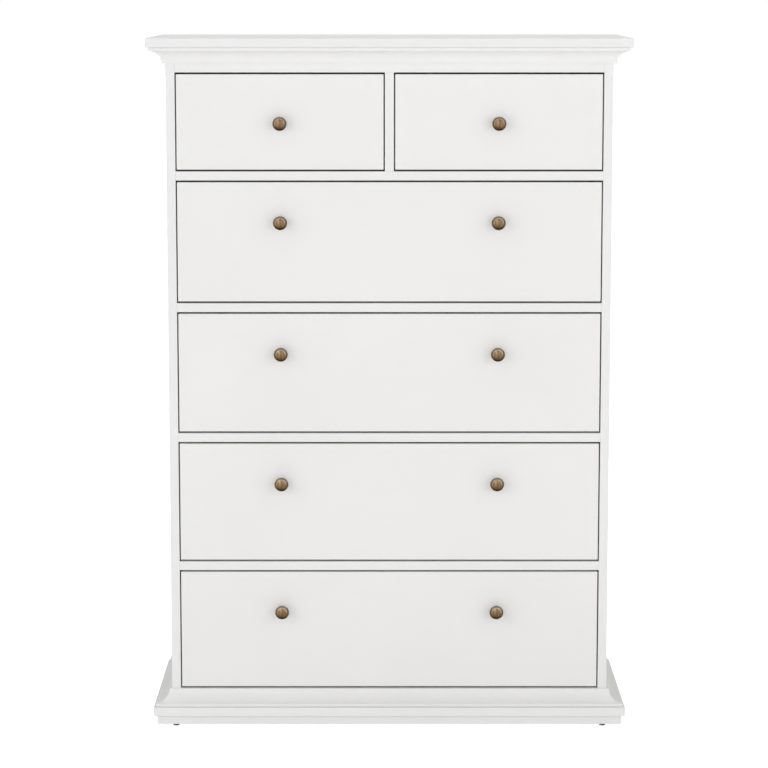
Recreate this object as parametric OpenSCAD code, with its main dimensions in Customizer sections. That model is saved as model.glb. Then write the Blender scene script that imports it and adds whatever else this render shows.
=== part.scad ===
// Tall chest of drawers: two small drawers side by side above four wide ones, in a white
// board carcass with a cove moulding under the top and another above the base. Each
// drawer runs on a pair of roller runners. Millimetres, +Z up, fronts facing -Y. The
// origin is on the floor, at the centre of the footprint.

/* [Overall] */
// Width of the top and base boards
width = 960; // [940:5:980]
// Depth of the top and base boards, front to back
depth = 410; // [410:5:450]
// How far the top and base boards stand out past the carcass, at the front and both sides
overhang = 36; // [34:1:40]

/* [Boards] */
// Thickness of the carcass boards
board = 18; // [16:1:20]
// Thickness of the back panel and the drawer bottoms
hardboard = 3; // [2.5:0.5:4]
// Depth of the rails between the drawers, front to back
rail_depth = 80; // [60:5:100]

/* [Mouldings] */
// Height of each moulding
moulding_h = 32; // [32:1:40]
// How far each moulding stands out from the carcass
moulding_out = 31; // [31:1:33]
// Height of the square fillet next to the top or base board
fillet_h = 7; // [5:1:9]
// Radius of the hollow curve
cove_r = 25; // [20:1:25]

/* [Base] */
// Height of the glides under the base frame
foot_h = 6; // [4:1:10]
// Diameter of a glide where it meets the base frame
foot_d = 15; // [12:1:20]
// Width of the four boards of the base frame
frame_w = 60; // [50:5:80]
// How far the base frame is set in from the edge of the base board
frame_inset = 7; // [5:1:12]

/* [Drawer fronts] */
// Height of a wide drawer's front
wide_front_h = 239; // [235:1:250]
// Height of a small drawer's front
small_front_h = 189; // [180:1:200]
// Thickness of the fronts
front_thick = 16; // [15:1:18]
// Gap above and below a front
row_gap = 3.5; // [2:0.5:4]
// Gap at each side of a front
side_gap = 2.5; // [1.5:0.5:3]

/* [Drawer boxes] */
// Height of a wide drawer's sides
wide_side_h = 180; // [140:5:200]
// Height of a small drawer's sides
small_side_h = 130; // [100:5:150]
// Thickness of the sides and the back
side_thick = 12; // [10:1:15]
// Length of the sides, front to back
box_len = 340; // [320:5:340]
// Room between a drawer's side and the carcass, which the runner fills
side_room = 12.5; // [12.5:0.1:13]
// Height of the sides' lower edge above the front's lower edge
side_lift = 10; // [9:0.5:12]

/* [Knobs] */
// Diameter of a knob
knob_d = 28; // [26:1:32]
// How far a knob stands out from its front
knob_out = 26; // [24:1:30]
// Distance of a wide drawer's knobs below the front's upper edge
wide_knob_drop = 80; // [60:1:120]
// Distance of a small drawer's knob below the front's upper edge
small_knob_drop = 97; // [60:1:110]

/* [Runners] */
// Thickness of the runners' steel
sheet = 1.2; // [1:0.1:1.2]
// Length of the channel on the carcass
channel_len = 350; // [340:1:350]
// Diameter of the rollers
roller_d = 16; // [15.5:0.1:16]
// Diameter of the rollers' axles
axle_d = 3.9; // [3:0.1:4]

/* [Hidden] */
$fn = 48;
white = [0.92, 0.92, 0.91];
brown = [0.50, 0.36, 0.24];
old_brass = [0.48, 0.37, 0.21];
runner_white = [0.84, 0.84, 0.82];
nylon = [0.90, 0.90, 0.86];
dark = [0.16, 0.16, 0.17];

// Small values of the joinery
cut = 1;              // how far a cutting shape runs past the face it cuts
mitre_gap = 0.2;      // open line between neighbouring pieces of one node
groove_depth = 6;     // groove that holds a drawer's bottom
groove_play = 0.2;    // groove height beyond the bottom's thickness
groove_lift = 10;     // height of the groove above the sides' lower edge
bottom_play = 0.5;    // room between the bottom's edge and the end of its groove
back_drop = 10;       // how far a drawer's back stays below its sides
back_panel_inset = 1; // back panel's edge, in from the side of the carcass
top_rail_h = 50;      // the two upright rails under the top
running_gap = 0.3;    // air between a roller and what rolls on it

// Planes of the carcass
front_y = -depth / 2 + overhang;
back_y = depth / 2;
carcass_x = width / 2 - overhang;
inner_x = carcass_x - board;
carcass_depth = depth - overhang - hardboard;
base_top = foot_h + 2 * board;
pitch = wide_front_h + 2 * row_gap + board;
top_rail_z = row_z(4) + small_front_h + row_gap;
cornice_z = top_rail_z + board;
top_z = cornice_z + moulding_h;

// Lower edge of the fronts in a row, counted from the bottom
function row_z(row) = base_top + moulding_h + row_gap + row * pitch;

// The six drawers, in the order of their names
DRAWERS = ["top_left_drawer", "top_right_drawer", "second_drawer", "third_drawer",
           "fourth_drawer", "bottom_drawer"];
PIECES = ["front", "sides", "back", "bottom", "knobs", "runners", "rear_rollers",
          "front_rollers"];
CARCASS = ["top_board", "cornice_moulding", "left_side_panel", "right_side_panel",
           "back_panel", "centre_divider", "cross_rails", "base_board", "base_moulding",
           "base_frame", "glide_feet", "cabinet_runners"];
LAST = len(DRAWERS) - 1;

function small(i) = i < 2;
function drawer_z(i) = row_z(small(i) ? 4 : LAST - i);
function front_h(i) = small(i) ? small_front_h : wide_front_h;
function side_h(i) = small(i) ? small_side_h : wide_side_h;

// Faces of the carcass on a drawer's left and right
function left_face(i) = i == 1 ? board / 2 : -inner_x;
function right_face(i) = i == 0 ? -board / 2 : inner_x;
function box_left(i) = left_face(i) + side_room;
function box_right(i) = right_face(i) - side_room;
function front_left(i) = left_face(i) + side_gap;
function front_right(i) = right_face(i) - side_gap;

// Knobs stand over the middles of the two small fronts, in every row
knob_x = (board / 2 + inner_x) / 2;
function knob_places(i) = i == 0 ? [-knob_x] : i == 1 ? [knob_x] : [-knob_x, knob_x];
function knob_z(i) = front_h(i) - (small(i) ? small_knob_drop : wide_knob_drop);

// Knob and its screw, measured outwards from the front's face
rim_r = 4;
dome_rise = 2;
neck_r = 5.5;
neck_base_r = 9;
neck_curve_r = 9;
dome_r = knob_d / 2 - rim_r + 1;
dome_curve_r = (dome_r * dome_r + dome_rise * dome_rise) / (2 * dome_rise);
screw_d = 4;
screw_hole_d = 5;
screw_in_knob = 12;
knob_bore_d = screw_d + 0.2;
screw_head_d = 8;
screw_head_h = 2.6;

// Runner section, measured inwards from the carcass face and up from the runner's foot
flange_reach = side_room - 1.5;
web_h = 22;
lip_z = 18;
lip_reach = 8;
lip_start = 32;
channel_start = 20;
front_axle_y = 14;
member_start = front_thick + 1;
member_foot = 3;
member_flange_z = 24;
member_flange_reach = 2.5;
rear_axle_y = box_len - 9;
runner_lift = side_lift - sheet - member_foot;
roller_r = roller_d / 2;
roller_bore_d = axle_d + 0.1;
rear_axle_z = sheet + running_gap + roller_r;
front_axle_z = member_flange_z - running_gap - roller_r;
roller_edge = 0.8;
axle_head_d = 7;
axle_head_h = 1;
roller_play = 0.4;
front_roller_w = 7.4;
rear_roller_w = 7.1;
member_web = side_room - sheet;

// Holes for the two screws of the wall fixing
wall_hole_d = 5;
wall_hole_x = 300;
wall_hole_z = top_rail_z + top_rail_h / 2;

// ---- carcass ----

module top_board() {
    color(white) translate([-width / 2, -depth / 2, top_z]) cube([width, depth, board]);
}

module base_board() {
    color(white) translate([-width / 2, -depth / 2, foot_h + board]) cube([width, depth, board]);
}

module side_panel() {
    color(white) translate([inner_x, front_y, base_top])
        cube([board, carcass_depth, top_z - base_top]);
}

module left_side_panel() {
    mirror([1, 0, 0]) side_panel();
}

module right_side_panel() {
    side_panel();
}

// The two screw holes of the wall fixing, along Y through the back panel and its rail
module wall_holes() {
    for (x = [-wall_hole_x, wall_hole_x])
        translate([x, back_y - hardboard - board - cut, wall_hole_z])
            rotate([-90, 0, 0]) cylinder(d = wall_hole_d, h = hardboard + board + 2 * cut);
}

module back_panel() {
    half_w = carcass_x - back_panel_inset;
    color(brown) difference() {
        translate([-half_w, back_y - hardboard, base_top])
            cube([2 * half_w, hardboard, top_z - base_top]);
        wall_holes();
    }
}

// Stands on the rail under the small drawers, notched for the two rails under the top
module centre_divider() {
    foot_z = row_z(4) - row_gap;
    color(white) {
        translate([-board / 2, front_y, foot_z])
            cube([board, carcass_depth, top_rail_z - foot_z]);
        translate([-board / 2, front_y + board, top_rail_z])
            cube([board, carcass_depth - 2 * board, top_rail_h]);
    }
}

// A rail between the side panels, with its front lower edge at y, z
module rail(y, z, deep, high) {
    translate([-inner_x, y, z]) cube([2 * inner_x, deep, high]);
}

module cross_rails() {
    rear_y = front_y + carcass_depth;
    color(white) {
        rail(front_y, base_top, board, moulding_h);
        for (row = [1 : 4]) rail(front_y, row_z(row) - row_gap - board, rail_depth, board);
        rail(rear_y - rail_depth, row_z(4) - row_gap - board, rail_depth, board);
        rail(front_y, top_rail_z, board, top_rail_h);
        difference() {
            rail(rear_y - board, top_rail_z, board, top_rail_h);
            wall_holes();
        }
    }
}

// ---- mouldings ----

// Cross-section above the base: outwards from the carcass in x, upwards in y
module moulding_section() {
    square([moulding_out, fillet_h]);
    difference() {
        square([moulding_out - 1, moulding_h]);
        translate([moulding_out - 1, fillet_h + cove_r]) circle(r = cove_r);
        translate([moulding_out - 1 - cove_r, fillet_h + cove_r]) square([2 * cove_r, moulding_h]);
    }
}

// Front length, cut to 45 degrees at both ends
module front_moulding() {
    intersection() {
        translate([0, front_y, 0]) mirror([0, 1, 0]) rotate([90, 0, 90])
            linear_extrude(height = width, center = true) moulding_section();
        linear_extrude(height = moulding_h)
            polygon([[-carcass_x, front_y], [carcass_x, front_y],
                     [carcass_x + moulding_out, front_y - moulding_out],
                     [-carcass_x - moulding_out, front_y - moulding_out]]);
    }
}

// Right-hand length, cut to 45 degrees where it meets the front one
module side_moulding() {
    intersection() {
        translate([carcass_x, back_y, 0]) rotate([90, 0, 0])
            linear_extrude(height = depth) moulding_section();
        linear_extrude(height = moulding_h)
            polygon([[carcass_x, front_y + mitre_gap],
                     [carcass_x + moulding_out, front_y - moulding_out + mitre_gap],
                     [carcass_x + moulding_out, back_y], [carcass_x, back_y]]);
    }
}

module moulding_set() {
    color(white) {
        front_moulding();
        side_moulding();
        mirror([1, 0, 0]) side_moulding();
    }
}

module base_moulding() {
    translate([0, 0, base_top]) moulding_set();
}

module cornice_moulding() {
    translate([0, 0, top_z]) mirror([0, 0, 1]) moulding_set();
}

// ---- base ----

module base_frame() {
    half_w = width / 2 - frame_inset;
    half_d = depth / 2 - frame_inset;
    color(white) translate([0, 0, foot_h]) {
        for (y = [-half_d, half_d - frame_w])
            translate([-half_w, y, 0]) cube([2 * half_w, frame_w, board]);
        for (x = [-half_w, half_w - frame_w])
            translate([x, -half_d + frame_w + mitre_gap, 0])
                cube([frame_w, 2 * (half_d - frame_w - mitre_gap), board]);
    }
}

module glide_feet() {
    foot_x = width / 2 - frame_inset - 38;
    foot_y = depth / 2 - frame_inset - 16;
    taper = 2.4;
    color(dark) for (x = [-foot_x, foot_x]) for (y = [-foot_y, foot_y])
        translate([x, y, 0]) cylinder(d1 = foot_d - taper, d2 = foot_d, h = foot_h);
}

// ---- drawers ----

module drawer_front(i) {
    color(white) difference() {
        translate([front_left(i), front_y, drawer_z(i)])
            cube([front_right(i) - front_left(i), front_thick, front_h(i)]);
        for (x = knob_places(i))
            translate([x, front_y - cut, drawer_z(i) + knob_z(i)])
                rotate([-90, 0, 0]) cylinder(d = screw_hole_d, h = front_thick + 2 * cut);
        bottom_groove(i);
    }
}

// Space cut into the front and both sides for the bottom's edges
module bottom_groove(i) {
    from_x = box_left(i) + side_thick - groove_depth;
    to_x = box_right(i) - side_thick + groove_depth;
    translate([from_x, front_y + front_thick - groove_depth, drawer_z(i) + side_lift + groove_lift])
        cube([to_x - from_x, groove_depth + box_len + cut, hardboard + groove_play]);
}

module drawer_sides(i) {
    color(white) difference() {
        for (x = [box_left(i), box_right(i) - side_thick])
            translate([x, front_y + front_thick, drawer_z(i) + side_lift])
                cube([side_thick, box_len, side_h(i)]);
        bottom_groove(i);
    }
}

// Stands on the rear end of the bottom
module drawer_back(i) {
    foot = side_lift + groove_lift + hardboard + groove_play;
    color(white)
        translate([box_left(i) + side_thick, front_y + front_thick + box_len - side_thick,
                   drawer_z(i) + foot])
            cube([box_right(i) - box_left(i) - 2 * side_thick, side_thick,
                  side_lift + side_h(i) - back_drop - foot]);
}

module drawer_bottom(i) {
    reach = groove_depth - bottom_play;
    from_x = box_left(i) + side_thick - reach;
    to_x = box_right(i) - side_thick + reach;
    color(white)
        translate([from_x, front_y + front_thick - reach,
                   drawer_z(i) + side_lift + groove_lift + groove_play / 2])
            cube([to_x - from_x, reach + box_len, hardboard]);
}

// Half of a knob's lengthwise section: radius in x, distance from the front in y
module knob_section() {
    head_y = knob_out - dome_rise - 2 * rim_r;
    difference() {
        square([neck_base_r, head_y + rim_r]);
        translate([neck_r + neck_curve_r, head_y / 2]) circle(r = neck_curve_r);
    }
    translate([0, head_y]) square([knob_d / 2 - rim_r, 2 * rim_r]);
    translate([knob_d / 2 - rim_r, head_y + rim_r]) circle(r = rim_r);
    intersection() {
        translate([0, knob_out - dome_curve_r]) circle(r = dome_curve_r);
        translate([0, head_y]) square([knob_d / 2, knob_out]);
    }
}

module knob() {
    difference() {
        rotate_extrude() intersection() {
            knob_section();
            square([knob_d, knob_out]);
        }
        translate([0, 0, -cut]) cylinder(d = knob_bore_d, h = screw_in_knob + 2 * cut);
    }
}

// Pan-headed screw from inside the drawer into the knob
module knob_screw() {
    head_z = -front_thick - screw_head_h;
    translate([0, 0, head_z]) cylinder(d = screw_head_d, h = screw_head_h);
    translate([0, 0, head_z + cut]) cylinder(d = screw_d, h = screw_in_knob - head_z - cut);
}

module drawer_knobs(i) {
    color(old_brass) for (x = knob_places(i))
        translate([x, front_y, drawer_z(i) + knob_z(i)]) rotate([90, 0, 0]) {
            knob();
            knob_screw();
        }
}

// ---- runners ----

// Puts a left-hand runner piece on both of a drawer's carcass faces, y behind the fronts
module on_both_faces(i, y) {
    for (right = [0, 1])
        translate([right ? right_face(i) : left_face(i), front_y + y, drawer_z(i) + runner_lift])
            mirror([right, 0, 0]) children();
}

// Cylinder along X from a carcass face inwards
module along_x(x, y, z, d, length) {
    translate([x, y, z]) rotate([0, 90, 0]) cylinder(d = d, h = length);
}

// Channel screwed to the carcass, with the axle of its front roller
module channel() {
    cube([sheet, channel_len, web_h]);
    cube([flange_reach, channel_len, sheet]);
    translate([0, lip_start, lip_z]) cube([lip_reach, channel_len - lip_start, sheet]);
    head_x = sheet + 2 * roller_play + front_roller_w;
    along_x(sheet / 2, front_axle_y, front_axle_z, axle_d, head_x);
    along_x(head_x, front_axle_y, front_axle_z, axle_head_d, axle_head_h);
}

module cabinet_runners() {
    color(runner_white) for (i = [0 : LAST]) on_both_faces(i, channel_start) channel();
}

// Angle under a drawer's side, with the flange that rolls on the front roller and the
// axle of its own rear roller
module drawer_member() {
    translate([member_web, 0, member_foot])
        cube([sheet, box_len, member_flange_z + sheet - member_foot]);
    translate([member_web, 0, member_foot]) cube([sheet + side_thick, box_len, sheet]);
    translate([member_flange_reach, 0, member_flange_z])
        cube([side_room - member_flange_reach, box_len, sheet]);
    head_x = member_web - 2 * roller_play - rear_roller_w - axle_head_h;
    along_x(head_x + axle_head_h / 2, rear_axle_y, rear_axle_z, axle_d,
            member_web - head_x - axle_head_h / 2 + sheet / 2);
    along_x(head_x, rear_axle_y, rear_axle_z, axle_head_d, axle_head_h);
}

module drawer_runners(i) {
    color(runner_white) on_both_faces(i, member_start) drawer_member();
}

module roller(w) {
    color(nylon) rotate([0, 90, 0]) rotate_extrude()
        polygon([[roller_bore_d / 2, 0], [roller_r - roller_edge, 0], [roller_r, roller_edge],
                 [roller_r, w - roller_edge], [roller_r - roller_edge, w], [roller_bore_d / 2, w]]);
}

module drawer_rear_rollers(i) {
    on_both_faces(i, member_start)
        translate([member_web - roller_play - rear_roller_w, rear_axle_y, rear_axle_z])
            roller(rear_roller_w);
}

module drawer_front_rollers(i) {
    on_both_faces(i, channel_start)
        translate([sheet + roller_play, front_axle_y, front_axle_z]) roller(front_roller_w);
}

// ---- nodes ----

top_board();
cornice_moulding();
left_side_panel();
right_side_panel();
back_panel();
centre_divider();
cross_rails();
base_board();
base_moulding();
base_frame();
glide_feet();
cabinet_runners();
for (i = [0 : LAST]) {
    name = DRAWERS[i];
    drawer_front(i);
    drawer_sides(i);
    drawer_back(i);
    drawer_bottom(i);
    drawer_knobs(i);
    drawer_runners(i);
    drawer_rear_rollers(i);
    drawer_front_rollers(i);
}
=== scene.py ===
"""The looks of a tall white chest of drawers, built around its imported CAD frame.

The boards of the carcass and of the drawer boxes are the CAD nodes with eased edges and a
material. Drawer fronts, back panel, mouldings, knobs, glides, runners and rollers are finer
meshes that stand for their nodes. Small fittings with no node of their own are added here.
Everything is in metres.
"""

import math

import bmesh
import bpy
from mathutils import Matrix, Vector


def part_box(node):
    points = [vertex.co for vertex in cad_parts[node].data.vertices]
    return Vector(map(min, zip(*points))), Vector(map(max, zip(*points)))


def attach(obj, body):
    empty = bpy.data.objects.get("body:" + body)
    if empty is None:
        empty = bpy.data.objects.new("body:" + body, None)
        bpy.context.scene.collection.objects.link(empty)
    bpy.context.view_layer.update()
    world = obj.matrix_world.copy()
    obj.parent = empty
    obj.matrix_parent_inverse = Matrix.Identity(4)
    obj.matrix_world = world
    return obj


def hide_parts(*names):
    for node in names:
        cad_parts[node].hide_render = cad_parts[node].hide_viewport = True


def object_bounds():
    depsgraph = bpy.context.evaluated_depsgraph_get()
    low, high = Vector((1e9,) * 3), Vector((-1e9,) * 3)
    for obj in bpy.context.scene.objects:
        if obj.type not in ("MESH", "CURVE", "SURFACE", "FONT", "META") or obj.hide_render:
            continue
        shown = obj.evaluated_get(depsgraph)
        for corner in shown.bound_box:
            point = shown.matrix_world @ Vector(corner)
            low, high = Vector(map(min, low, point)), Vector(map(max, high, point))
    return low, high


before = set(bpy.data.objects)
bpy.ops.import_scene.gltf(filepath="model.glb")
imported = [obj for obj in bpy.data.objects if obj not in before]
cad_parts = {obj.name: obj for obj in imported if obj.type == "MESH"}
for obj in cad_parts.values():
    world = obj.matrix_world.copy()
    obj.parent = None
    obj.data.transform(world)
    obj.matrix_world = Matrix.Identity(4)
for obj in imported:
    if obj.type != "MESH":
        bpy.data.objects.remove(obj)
cad_low, cad_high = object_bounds()

MM = 0.001
SMALL_DRAWERS = ("top_left_drawer", "top_right_drawer")
WIDE_DRAWERS = ("second_drawer", "third_drawer", "fourth_drawer", "bottom_drawer")

# ---- planes of the frame ----

PANEL_LOW, PANEL_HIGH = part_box("right_side_panel")
BASE_LOW, BASE_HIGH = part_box("base_moulding")
BACK_LOW, BACK_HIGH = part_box("back_panel")
GLIDES_LOW, GLIDES_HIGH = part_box("glide_feet")
CORNICE_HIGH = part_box("cornice_moulding")[1]
DIVIDER_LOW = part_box("centre_divider")[0]
FRAME_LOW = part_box("base_frame")[0]
FRONT_Y = PANEL_LOW.y
BACK_Y = cad_high.y
CARCASS_X = PANEL_HIGH.x
INNER_X = PANEL_LOW.x
ROW_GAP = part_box("bottom_drawer_front")[0].z - BASE_HIGH.z
FACE_R = 10.3 * MM  # radius of a knob's brushed face, inside its rim

# ---- runners, as in the frame ----

SHEET = 1.2 * MM  # thickness of the steel
BEND = 1.2 * MM  # radius of its bends
ROOM = 12.5 * MM  # between a drawer's side and the carcass
SIDE = 12 * MM  # thickness of a drawer's side
FLANGE_PLAY = 2.5 * MM  # between a member's flange and the carcass
MEMBER_UP = 3 * MM  # a member's foot over its channel's foot
CHANNEL_IN = 3 * MM  # a channel's start behind its member's start
CHANNEL_LONG = 350 * MM
CHANNEL_WIDE = 11 * MM
CHANNEL_HIGH = 22 * MM
LIP_HIGH = 18 * MM  # underside of a channel's lip
MEMBER_LONG = 340 * MM
MEMBER_HIGH = 24 * MM  # underside of a member's flange
ROLLER_R = 8 * MM
ROLLER_WIDE = {"front": 7.4 * MM, "rear": 7.1 * MM}
ROLLER_PLAY = 0.3 * MM  # between a roller and the steel under or over it
AXLE_PLAY = 0.8 * MM  # between a roller and the steel that holds its axle
AXLE_R = 1.95 * MM


# ---- materials ----


class Paint:
    """Short calls for one material's node tree."""

    def __init__(self, name, roughness=0.5, metallic=0.0):
        self.material = bpy.data.materials.new(name)
        self.material.use_nodes = True
        self.tree = self.material.node_tree
        self.shader = self.tree.nodes["Principled BSDF"]
        self.shader.inputs["Roughness"].default_value = roughness
        self.shader.inputs["Metallic"].default_value = metallic
        self.place = self.node("ShaderNodeTexCoord").outputs["Object"]

    def node(self, kind, inputs=None, **settings):
        made = self.tree.nodes.new(kind)
        for key, value in settings.items():
            setattr(made, key, value)
        for key, value in (inputs or {}).items():
            if isinstance(value, bpy.types.NodeSocket):
                self.tree.links.new(value, made.inputs[key])
            else:
                made.inputs[key].default_value = value
        return made

    def set(self, **values):
        """Constants of the shader, by socket name with _ for a space."""
        for key, value in values.items():
            self.shader.inputs[key.replace("_", " ")].default_value = value

    def drive(self, socket, value):
        self.tree.links.new(value, self.shader.inputs[socket])

    def stretched(self, scale):
        return self.node("ShaderNodeMapping", {"Vector": self.place, "Scale": scale}).outputs[0]

    def noise(self, scale, detail=2.0, stretch=None, rough=0.5):
        vector = self.stretched(stretch) if stretch else self.place
        inputs = {"Vector": vector, "Scale": scale, "Detail": detail, "Roughness": rough}
        return self.node("ShaderNodeTexNoise", inputs).outputs[0]

    def cells(self, scale, output="Distance", stretch=None):
        vector = self.stretched(stretch) if stretch else self.place
        inputs = {"Vector": vector, "Scale": scale}
        return self.node("ShaderNodeTexVoronoi", inputs).outputs[output]

    def span(self, value, low, high, to_low=0.0, to_high=1.0):
        names = ("Value", "From Min", "From Max", "To Min", "To Max")
        inputs = dict(zip(names, (value, low, high, to_low, to_high)))
        return self.node("ShaderNodeMapRange", inputs).outputs[0]

    def maths(self, operation, a, b=0.0):
        return self.node("ShaderNodeMath", {0: a, 1: b}, operation=operation).outputs[0]

    def times(self, a, b):
        return self.maths("MULTIPLY", a, b)

    def mix(self, factor, a, b):
        inputs = {0: factor, 6: a, 7: b}
        return self.node("ShaderNodeMix", inputs, data_type="RGBA").outputs[2]

    def clouds(self, scale, detail, light, dark):
        """Two colours that run into each other in soft clouds."""
        return self.mix(self.span(self.noise(scale, detail), 0.35, 0.65), light, dark)

    def vary_roughness(self, scale, detail, low, high):
        self.drive("Roughness", self.span(self.noise(scale, detail), 0.3, 0.7, low, high))

    def split(self, vector):
        return self.node("ShaderNodeSeparateXYZ", {"Vector": vector}).outputs

    def edges(self, radius, low=0.03, high=0.25):
        """1 on convex and concave edges, fading out over the radius."""
        soft = self.node("ShaderNodeBevel", {"Radius": radius}, samples=4).outputs[0]
        true = self.node("ShaderNodeNewGeometry").outputs["Normal"]
        same = self.node("ShaderNodeVectorMath", {0: soft, 1: true}, operation="DOT_PRODUCT")
        return self.span(self.maths("SUBTRACT", 1.0, same.outputs["Value"]), low, high)

    def bump(self, height, depth, below=None):
        inputs = {"Height": height, "Distance": depth, "Strength": 1.0}
        if below:
            inputs["Normal"] = below
        return self.node("ShaderNodeBump", inputs).outputs[0]

    def relief(self, height, depth, below=None):
        self.drive("Normal", self.bump(height, depth, below))


def foil(name, light, dark, gloss, grain, wave, wear):
    """Satin white foil over board: light and dark are the two ends of its colour, gloss its
    roughness, grain and wave the depths of its fine emboss and of its long ripple."""
    paint = Paint(name)
    speck = paint.noise(160.0, 2.0)
    mottled = paint.clouds(3.1, 3.0, light, dark)
    edge = paint.edges(1.6 * MM)
    broken = paint.span(paint.noise(34.0, 4.0, rough=0.65), 0.44, 0.62)
    worn = paint.times(paint.times(edge, broken), wear)
    colour = paint.mix(worn, mottled, (0.60, 0.57, 0.52, 1))
    paint.drive("Base Color", colour)
    rough = paint.span(speck, 0.3, 0.7, gloss - 0.035, gloss + 0.035)
    smudge = paint.span(paint.noise(9.0, 5.0, rough=0.6), 0.3, 0.7, -0.03, 0.05)
    paint.drive("Roughness", paint.maths("ADD", rough, smudge))
    ripple = paint.bump(paint.noise(7.0, 2.0), wave)
    peel = paint.bump(paint.noise(240.0, 2.0), grain * 0.6, ripple)
    fine = paint.bump(paint.noise(1100.0, 2.0, stretch=(1.0, 1.0, 0.55)), grain, peel)
    paint.drive("Normal", fine)
    paint.set(Specular_IOR_Level=0.42)
    return paint


def chipboard(paint, colour_below, mask):
    """Raw particle board wherever mask is 1, over colour_below; returns colour and bump."""
    chips = paint.cells(420.0, "Color", stretch=(1.0, 1.0, 2.2))
    tone = paint.split(chips)[0]
    wood = paint.mix(tone, (0.36, 0.23, 0.125, 1), (0.68, 0.52, 0.34, 1))
    crumb = paint.noise(900.0, 3.0)
    wood = paint.mix(paint.span(crumb, 0.35, 0.65, 0.0, 0.55), wood, (0.50, 0.36, 0.22, 1))
    return paint.mix(mask, colour_below, wood), crumb


def board_material():
    """White foil board; the edges that face the wall are raw particle board."""
    light = (0.844, 0.843, 0.838, 1)
    dark = (0.822, 0.822, 0.817, 1)
    paint = foil("white_board_foil", light, dark, 0.40, 0.000012, 0.00012, 0.35)
    facing = paint.split(paint.node("ShaderNodeTexCoord").outputs["Normal"])[1]
    behind = paint.span(paint.split(paint.place)[1], BACK_Y - 8.5 * MM, BACK_Y - 8.3 * MM)
    raw = paint.times(paint.span(facing, 0.90, 0.93), behind)
    below = paint.shader.inputs["Base Color"].links[0].from_socket
    colour, crumb = chipboard(paint, below, raw)
    paint.drive("Base Color", colour)
    smooth = paint.shader.inputs["Roughness"].links[0].from_socket
    paint.drive("Roughness", paint.maths("MAXIMUM", smooth, paint.times(raw, 0.9)))
    under = paint.shader.inputs["Normal"].links[0].from_socket
    height = paint.times(crumb, raw)
    paint.relief(height, 0.0004, under)
    return paint.material


def front_material():
    light = (0.850, 0.844, 0.830, 1)
    dark = (0.832, 0.826, 0.811, 1)
    return foil("white_front_foil", light, dark, 0.37, 0.000010, 0.00014, 0.25).material


def moulding_material():
    light = (0.846, 0.842, 0.830, 1)
    dark = (0.824, 0.820, 0.809, 1)
    return foil("white_moulding_foil", light, dark, 0.39, 0.000012, 0.00008, 0.45).material


def drawer_board_material():
    """Matt white paper foil with a faint printed and pressed grain along the board."""
    paint = Paint("drawer_board_foil")
    pores = paint.noise(90.0, 4.0, stretch=(9.0, 0.6, 9.0), rough=0.6)
    tone = paint.clouds(5.0, 3.0, (0.80, 0.797, 0.78, 1), (0.765, 0.76, 0.742, 1))
    line = paint.span(pores, 0.56, 0.70)
    edge = paint.edges(1.2 * MM)
    worn = paint.times(edge, paint.span(paint.noise(45.0, 4.0), 0.42, 0.60, 0.0, 0.6))
    tone = paint.mix(paint.times(line, 0.22), tone, (0.66, 0.645, 0.615, 1))
    paint.drive("Base Color", paint.mix(worn, tone, (0.50, 0.42, 0.32, 1)))
    paint.vary_roughness(30.0, 3.0, 0.52, 0.66)
    fibre = paint.bump(paint.noise(700.0, 2.0), 0.00002)
    paint.relief(paint.maths("SUBTRACT", 1.0, line), 0.00004, fibre)
    paint.set(Specular_IOR_Level=0.3)
    return paint.material


def white_hardboard_material():
    """Hardboard under a thin roller coat of white paint, with its fibres showing through."""
    paint = Paint("white_painted_hardboard")
    tone = paint.clouds(6.0, 4.0, (0.79, 0.785, 0.765, 1), (0.745, 0.737, 0.712, 1))
    fleck = paint.span(paint.noise(260.0, 3.0, stretch=(1.0, 3.0, 1.0)), 0.62, 0.74, 0.0, 0.45)
    tone = paint.mix(fleck, tone, (0.60, 0.54, 0.46, 1))
    edge = paint.edges(1.0 * MM)
    paint.drive("Base Color", paint.mix(paint.times(edge, 0.8), tone, (0.33, 0.21, 0.12, 1)))
    paint.vary_roughness(50.0, 3.0, 0.42, 0.60)
    ripple = paint.bump(paint.noise(12.0, 2.0), 0.0003)
    paint.relief(paint.noise(520.0, 3.0), 0.00005, ripple)
    return paint.material


def brown_hardboard_material():
    """Raw hardboard: pressed brown fibre, with the mark of the press screen on it."""
    paint = Paint("raw_brown_hardboard")
    cloud = paint.noise(4.0, 5.0, rough=0.6)
    tone = paint.mix(paint.span(cloud, 0.32, 0.68), (0.27, 0.155, 0.078, 1), (0.385, 0.235, 0.125, 1))
    fibre = paint.span(paint.noise(190.0, 4.0, stretch=(1.0, 1.0, 2.6), rough=0.7), 0.36, 0.66)
    tone = paint.mix(paint.times(fibre, 0.55), tone, (0.46, 0.30, 0.17, 1))
    bark = paint.span(paint.cells(85.0), 0.05, 0.16, 0.65, 0.0)
    tone = paint.mix(bark, tone, (0.14, 0.075, 0.038, 1))
    x, _, z = paint.split(paint.place)
    across = paint.maths("SINE", paint.times(x, 2600.0))
    along = paint.maths("SINE", paint.times(z, 2600.0))
    screen = paint.times(across, along)
    tone = paint.mix(paint.span(screen, -1.0, 1.0, 0.0, 0.16), tone, (0.12, 0.065, 0.035, 1))
    paint.drive("Base Color", tone)
    paint.drive("Roughness", paint.span(cloud, 0.3, 0.7, 0.68, 0.84))
    rough = paint.bump(fibre, 0.00012)
    paint.relief(screen, 0.00010, rough)
    paint.set(Specular_IOR_Level=0.25)
    return paint.material


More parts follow.
